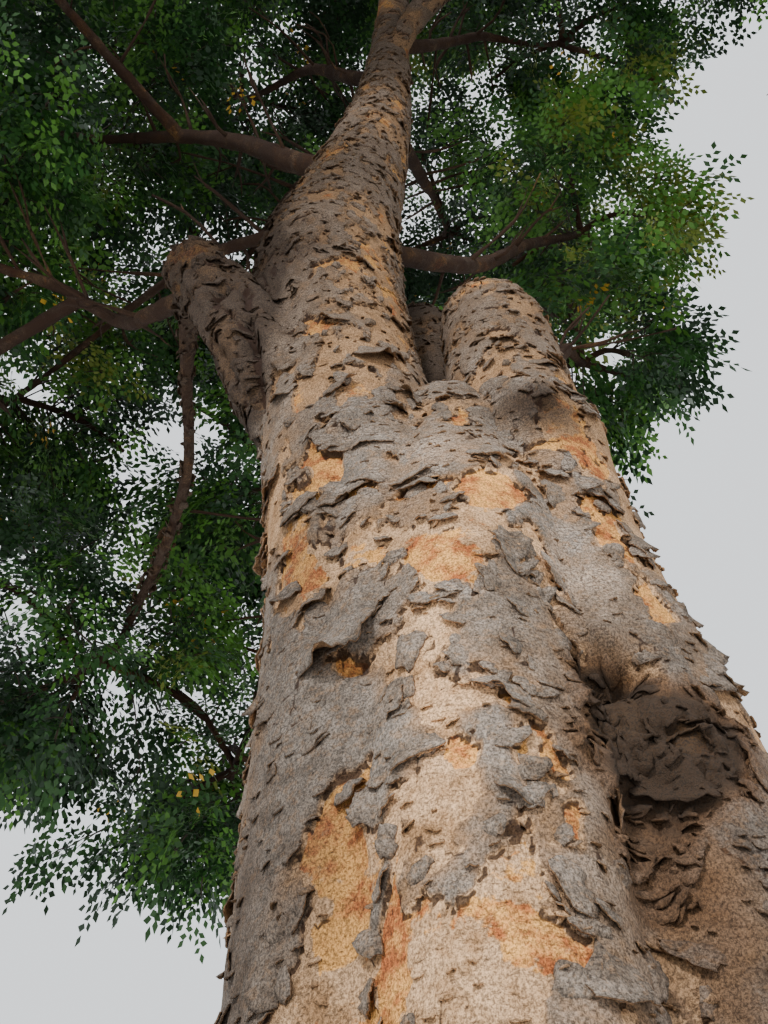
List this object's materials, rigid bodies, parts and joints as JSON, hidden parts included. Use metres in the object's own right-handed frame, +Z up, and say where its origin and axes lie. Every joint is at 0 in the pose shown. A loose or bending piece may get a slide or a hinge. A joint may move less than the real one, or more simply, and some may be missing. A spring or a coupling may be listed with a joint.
{
  "type": "brazilwood tree",
  "caption": "Old brazilwood tree: a thick fluted trunk with root flare forks into tapering boughs under a broad, open crown of fine dark green leaves.",
  "frame": {"origin": "middle of the flat cut under the trunk, at ground level", "axes": "+Z up; +Y away from someone who faces the trunk's front rib, +X to their right"},
  "size_m": [10.456, 9.751, 12.9799],
  "materials": {
    "trunk_bark": "flaking grey plates over beige and fresh orange bark, rough",
    "upper_bark": "flaking grey plates over red brown bark, rough",
    "foliage": "dark green leaf sprays on grey brown twigs, soft sheen"
  },
  "bodies": {
    "root": {"trunk": "trunk_bark", "leader": "upper_bark", "right_bough": "upper_bark", "rear_bough": "upper_bark", "left_bough": "upper_bark", "east_bough": "upper_bark", "front_bough": "upper_bark", "back_top_limb": "upper_bark", "far_left_limb": "upper_bark", "far_right_limb": "upper_bark", "front_left_limb": "upper_bark", "front_right_limb": "upper_bark", "front_top_limb": "upper_bark", "left_limb": "upper_bark", "low_back_left_limb": "upper_bark", "mid_back_left_limb": "upper_bark", "mid_left_limb": "upper_bark", "right_limb": "upper_bark", "right_low_limb": "upper_bark", "top_east_limb": "upper_bark", "top_right_limb": "upper_bark", "upper_back_left_limb": "upper_bark", "upper_front_left_limb": "upper_bark", "upper_left_limb": "upper_bark", "back_foliage": "foliage", "back_left_foliage": "foliage", "back_top_foliage": "foliage", "crown_top_foliage": "foliage", "far_left_foliage": "foliage", "far_right_foliage": "foliage", "front_foliage": "foliage", "front_left_foliage": "foliage", "front_right_foliage": "foliage", "front_top_foliage": "foliage", "left_foliage": "foliage", "low_back_left_foliage": "foliage", "low_left_foliage": "foliage", "mid_back_left_foliage": "foliage", "mid_left_foliage": "foliage", "right_foliage": "foliage", "right_low_foliage": "foliage", "top_east_foliage": "foliage", "top_right_foliage": "foliage", "upper_back_left_foliage": "foliage", "upper_front_left_foliage": "foliage", "upper_left_foliage": "foliage", "upper_right_foliage": "foliage"}
  },
  "joints": []
}
